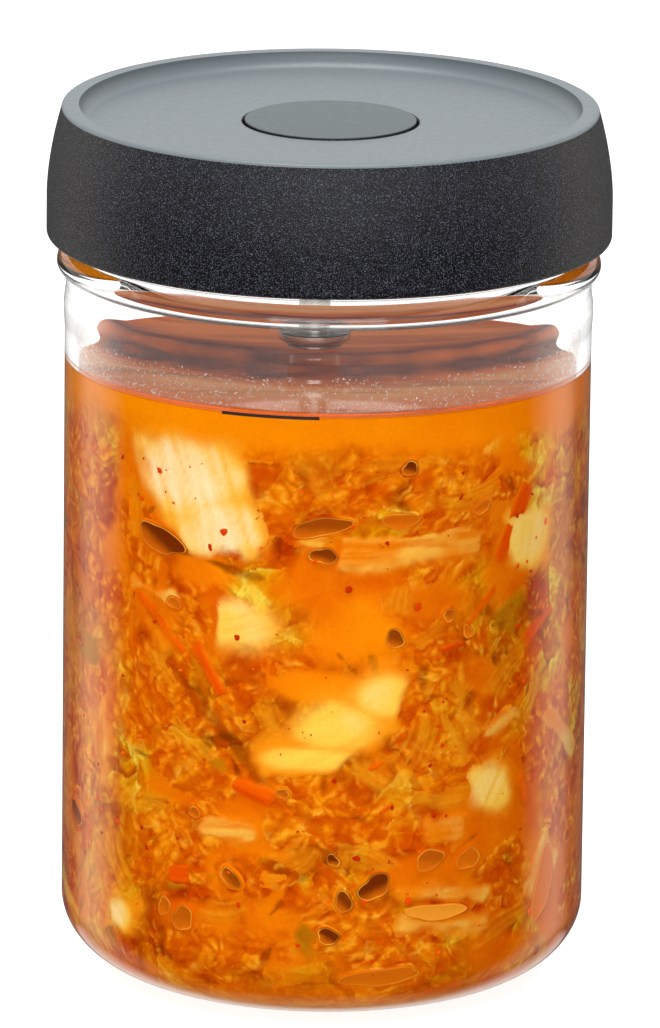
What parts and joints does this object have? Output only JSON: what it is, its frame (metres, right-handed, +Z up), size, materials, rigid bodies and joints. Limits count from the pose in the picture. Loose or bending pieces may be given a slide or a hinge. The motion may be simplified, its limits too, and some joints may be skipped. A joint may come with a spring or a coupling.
{
  "type": "fermentation jar",
  "caption": "Clear glass fermentation jar of pickled cabbage in orange brine, shut by a dark lid with a round button and a steel vent beneath it.",
  "frame": {"origin": "centre of the flat base, on the surface the jar stands on", "axes": "+Z up along the jar's axis; -Y is the front, with the fill line; +X is the viewer's right"},
  "size_m": [0.1178, 0.1178, 0.1848],
  "materials": {
    "glass": "clear, polished",
    "lid_plastic": "fine spark-eroded grain",
    "button_plastic": "soft matt",
    "steel": "turned, satin",
    "cabbage": "wet leaves and stems"
  },
  "bodies": {
    "root": {"glass_jar": "glass", "lid": "lid_plastic", "lid_button": "button_plastic", "steel_vent": "steel", "cabbage_heap": "cabbage"}
  },
  "joints": []
}
